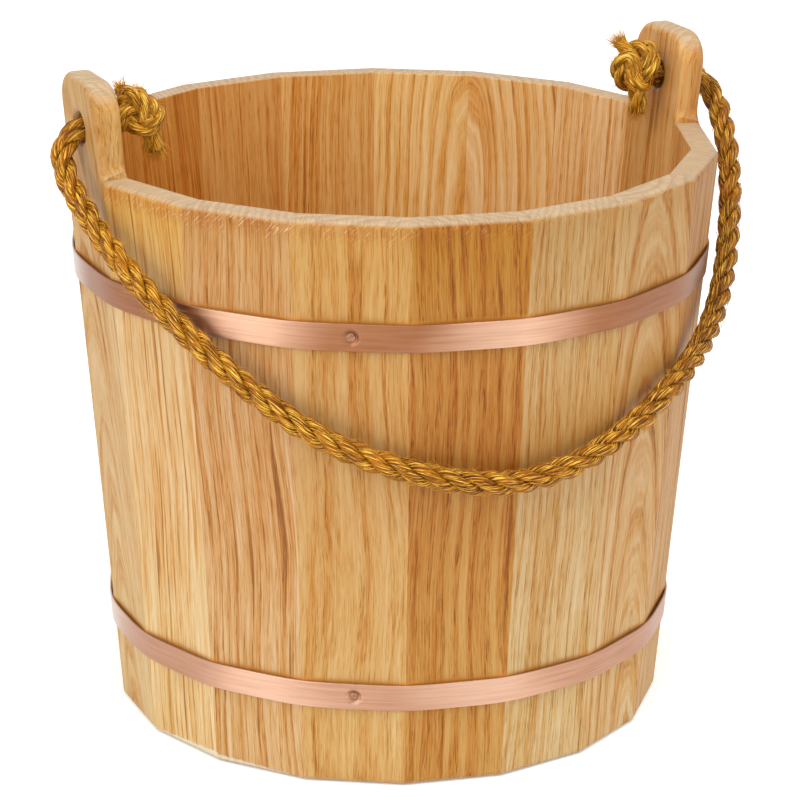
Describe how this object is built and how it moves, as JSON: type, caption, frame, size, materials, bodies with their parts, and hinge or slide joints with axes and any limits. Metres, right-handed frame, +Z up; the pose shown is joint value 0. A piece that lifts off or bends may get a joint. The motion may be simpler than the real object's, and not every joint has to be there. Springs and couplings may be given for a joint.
{
  "type": "wooden bucket",
  "caption": "Coopered oak bucket with flat tapered staves, copper-coloured hoops, raised ears and a knotted rope handle.",
  "frame": {"origin": "centre of the bucket's base, on the surface it stands on", "axes": "+Z up, +X towards the right ear, -Y towards the front, where the rope handle hangs"},
  "size_m": [0.34, 0.307, 0.312],
  "materials": {
    "oak": "planed, oiled",
    "floor_oak": "planed",
    "copper_strap": "brushed, copper-coloured",
    "fastener": "worn, copper-coloured",
    "rope": "three-strand natural fibre"
  },
  "bodies": {
    "root": {"stave_01": "oak", "stave_02": "oak", "stave_03": "oak", "stave_04": "oak", "stave_05": "oak", "stave_06": "oak", "stave_07": "oak", "stave_08": "oak", "stave_09": "oak", "stave_10": "oak", "stave_11": "oak", "stave_12": "oak", "stave_13": "oak", "stave_14": "oak", "stave_15": "oak", "stave_16": "oak", "ear_stave_right": "oak", "ear_stave_left": "oak", "floor_board_1": "floor_oak", "floor_board_2": "floor_oak", "floor_board_3": "floor_oak", "upper_hoop": "copper_strap", "lower_hoop": "copper_strap", "hoop_tacks": "fastener", "hoop_rivets": "fastener", "rope_handle": "rope", "rope_knot_left": "rope", "rope_knot_right": "rope"}
  },
  "joints": []
}
